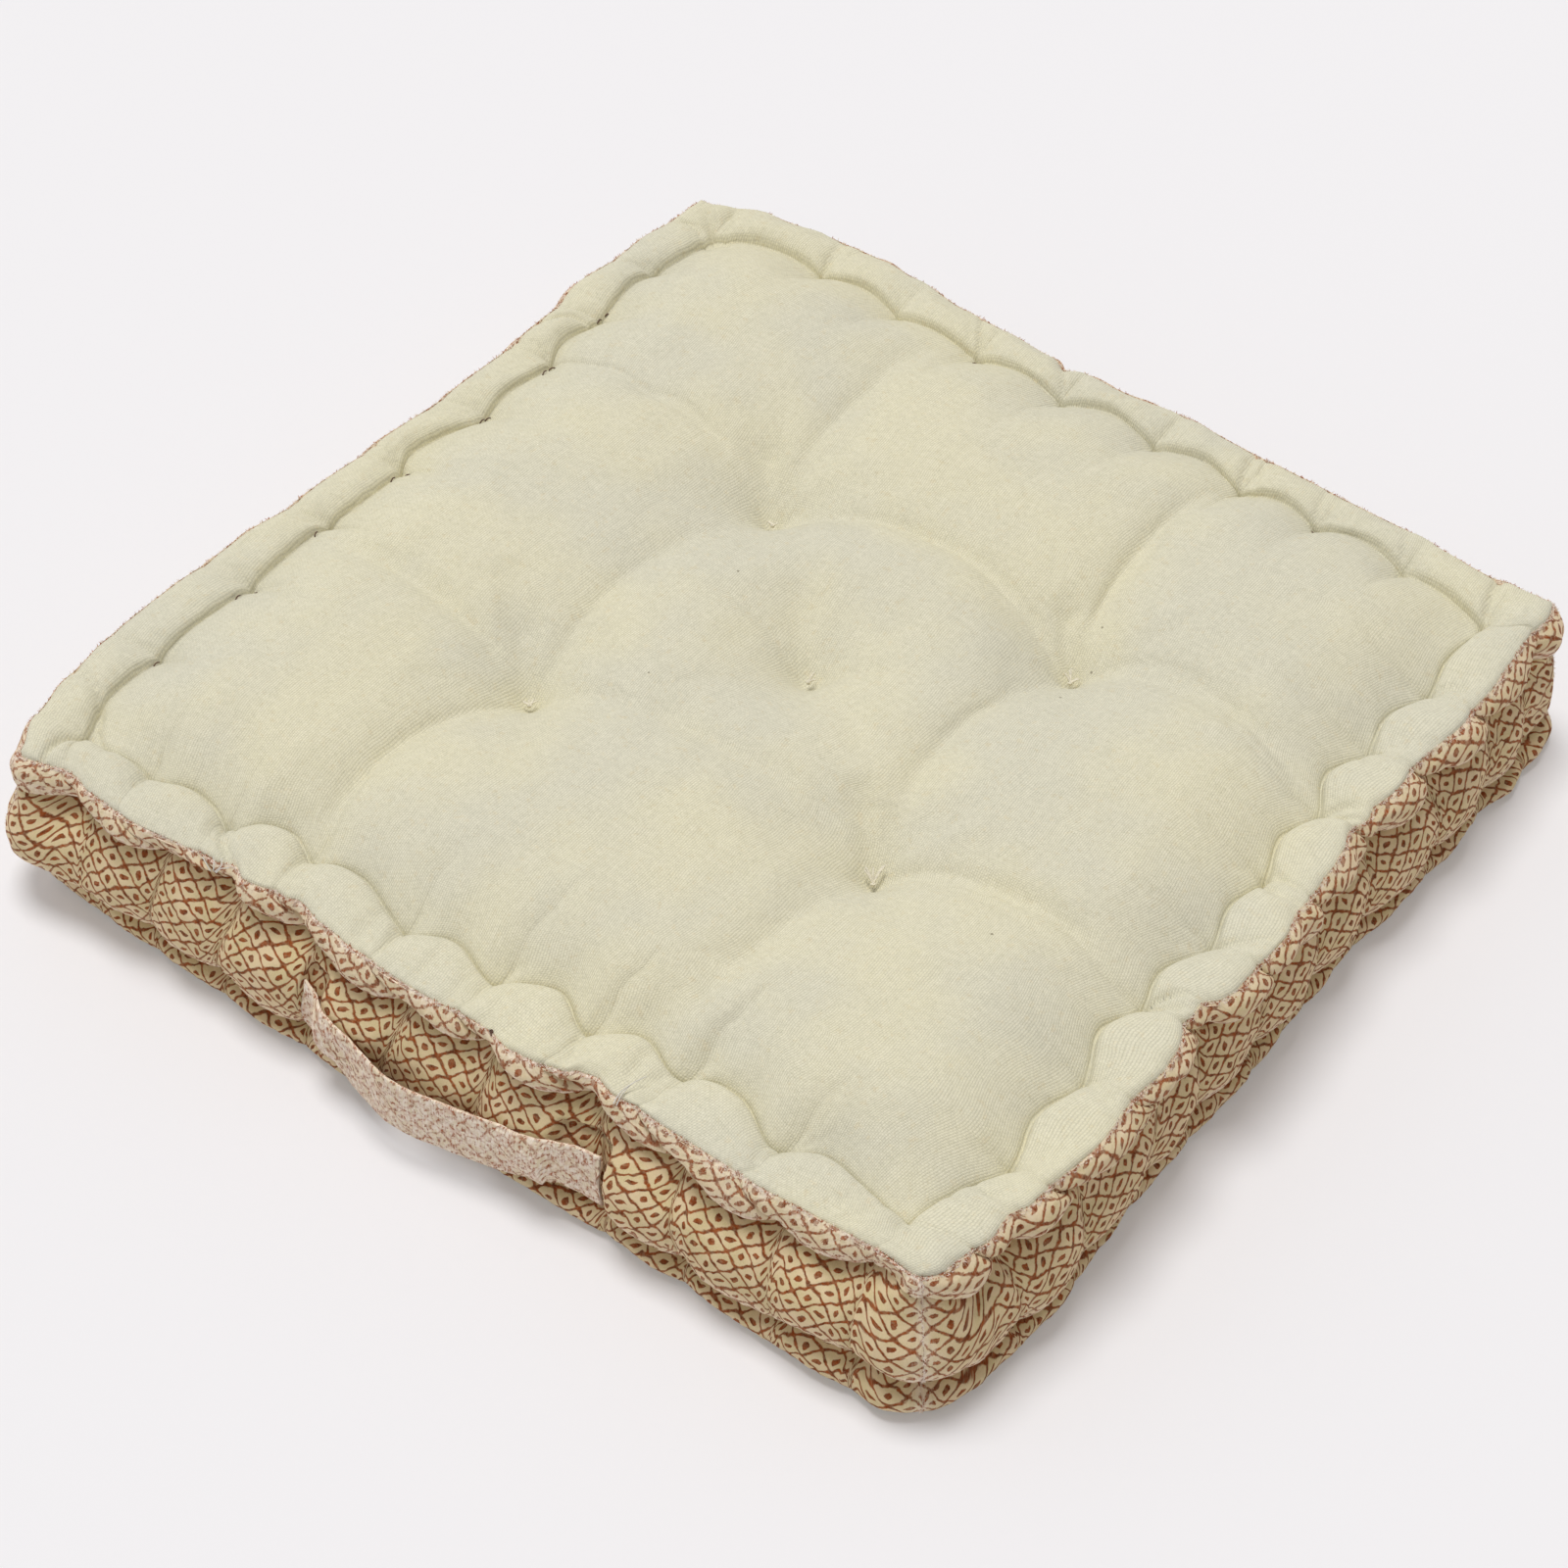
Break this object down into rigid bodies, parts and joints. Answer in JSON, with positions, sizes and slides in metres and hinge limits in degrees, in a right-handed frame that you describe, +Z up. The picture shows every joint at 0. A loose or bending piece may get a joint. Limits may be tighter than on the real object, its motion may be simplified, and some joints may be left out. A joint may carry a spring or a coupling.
{
  "type": "square meditation cushion",
  "caption": "Square floor cushion with tufted canvas faces, a stitched edge roll, a printed velvet border and a carry strap.",
  "frame": {"origin": "on the floor under the middle of the cushion's box", "axes": "+Z up; -Y towards the side with the carry strap; +X to the right of someone who faces that side"},
  "size_m": [0.6554, 0.6654, 0.1193],
  "materials": {
    "canvas": "plain-woven cotton canvas, pale sage cream with fine flecks",
    "printed_velvet": "short-pile cotton velvet, cream with a rust-brown diamond trellis print",
    "pale_velvet": "the same printed velvet with its pile brushed pale",
    "thread": "cream cotton tie thread"
  },
  "bodies": {
    "root": {"filled_cushion": "canvas", "border_front": "printed_velvet", "border_right": "printed_velvet", "border_back": "printed_velvet", "border_left": "printed_velvet", "carry_handle": "pale_velvet", "tuft_tie_front_left": "thread", "tuft_tie_front_right": "thread", "tuft_tie_back_left": "thread", "tuft_tie_back_right": "thread", "tuft_tie_centre": "thread"}
  },
  "joints": []
}
